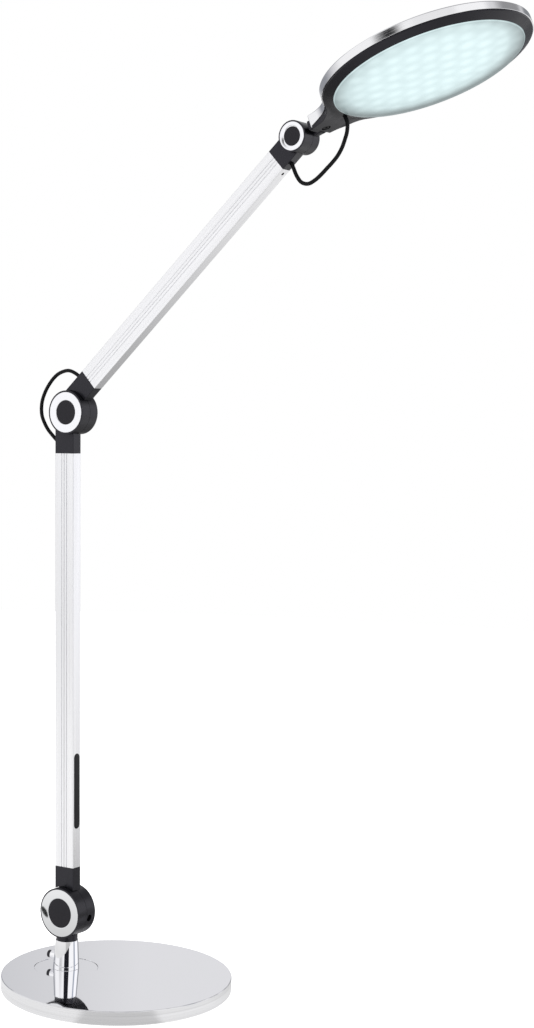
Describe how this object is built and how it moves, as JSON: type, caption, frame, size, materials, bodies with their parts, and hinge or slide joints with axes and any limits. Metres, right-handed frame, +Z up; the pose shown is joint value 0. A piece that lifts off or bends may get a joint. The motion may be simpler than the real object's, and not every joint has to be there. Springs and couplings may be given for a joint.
{
  "type": "swing-arm table lamp",
  "caption": "Table lamp: round weighted base, swivel post, flat extruded arms on friction knuckles, a touch strip on the lower arm, and a round diffused light head that tilts.",
  "frame": {"origin": "centre of the round base, on the surface the lamp stands on", "axes": "+X is the way the arms reach, +Z is up, and the three tilt joints turn about +Y"},
  "size_m": [0.5039, 0.22, 0.8925],
  "materials": {
    "polished_chrome": "mirror-polished chrome plate",
    "bright_aluminium": "bright anodised extrusion with fine grooves",
    "brushed_aluminium": "finely brushed, clear anodised",
    "satin_black": "satin moulded black",
    "cap_black": "fine satin black cap",
    "touch_black": "smooth black touch surface",
    "cast_weight": "rough cast",
    "cover_paint": "black powder coat",
    "pad_rubber": "matte pad",
    "cable_black": "soft satin cable sheath",
    "plain_steel": "zinc-plated steel",
    "white_nylon": "friction washer",
    "milky_diffuser": "milky, evenly lit from inside",
    "white_reflector": "diffuse white",
    "led_board_white": "white solder mask on a metal core",
    "led_body": "phosphor face",
    "thermal_grey": "soft thermal pad",
    "board_green": "circuit board"
  },
  "bodies": {
    "base": {"base_shell": "polished_chrome", "ballast": "cast_weight", "base_cover": "cover_paint", "base_pad": "pad_rubber", "cover_screws": "plain_steel", "swivel_bush": "satin_black"},
    "post": {"swivel_plate": "polished_chrome", "post": "polished_chrome", "spindle": "plain_steel", "swivel_washer": "plain_steel", "swivel_nut": "plain_steel", "inlet_sleeve": "polished_chrome", "inlet_socket": "satin_black", "inlet_pin": "plain_steel", "lower_yoke": "satin_black", "lower_ring": "polished_chrome", "lower_cap": "cap_black", "lower_bolt": "plain_steel", "lower_friction_washer": "white_nylon", "lower_spring_washer": "plain_steel", "lower_nut": "plain_steel"},
    "lower_arm": {"lower_foot": "satin_black", "lower_rear_cap": "cap_black", "drum_grub": "plain_steel", "lower_tube": "bright_aluminium", "touch_strip": "touch_black", "touch_board": "board_green", "elbow_yoke": "satin_black", "elbow_ring": "polished_chrome", "elbow_cap": "cap_black", "elbow_bolt": "plain_steel", "elbow_friction_washer": "white_nylon", "elbow_spring_washer": "plain_steel", "elbow_nut": "plain_steel", "elbow_cable": "cable_black"},
    "upper_arm": {"upper_foot": "satin_black", "elbow_rear_cap": "cap_black", "upper_tube": "bright_aluminium", "tube_grub": "plain_steel", "head_yoke": "satin_black", "head_ring": "polished_chrome", "head_cap": "cap_black", "head_bolt": "plain_steel", "head_friction_washer": "white_nylon", "head_spring_washer": "plain_steel", "head_nut": "plain_steel", "head_cable": "cable_black"},
    "head": {"head_bracket": "satin_black", "head_rear_cap": "cap_black", "neck_screw": "plain_steel", "head_tray": "satin_black", "head_cover": "brushed_aluminium", "diffuser": "milky_diffuser", "reflector": "white_reflector", "led_board": "led_board_white", "leds": "led_body", "thermal_pad": "thermal_grey"}
  },
  "joints": [
    {"name": "swivel", "type": "hinge", "parent": "base", "child": "post", "pos_m": [-0.05, -0.0155, 0], "axis": [0, 0, 1], "continuous": true},
    {"name": "lower_tilt", "type": "hinge", "parent": "post", "child": "lower_arm", "pos_m": [-0.05, -0.0155, 0.0695], "axis": [0, 1, 0], "range_deg": [-33, 45]},
    {"name": "elbow", "type": "hinge", "parent": "lower_arm", "child": "upper_arm", "pos_m": [-0.06034, -0.0155, 0.54893], "axis": [0, 1, 0], "range_deg": [-50, 75], "deforming": ["elbow_cable"]},
    {"name": "head_tilt", "type": "hinge", "parent": "upper_arm", "child": "head", "pos_m": [0.1845, -0.0155, 0.79593], "axis": [0, 1, 0], "range_deg": [-60, 75], "deforming": ["head_cable"]}
  ]
}
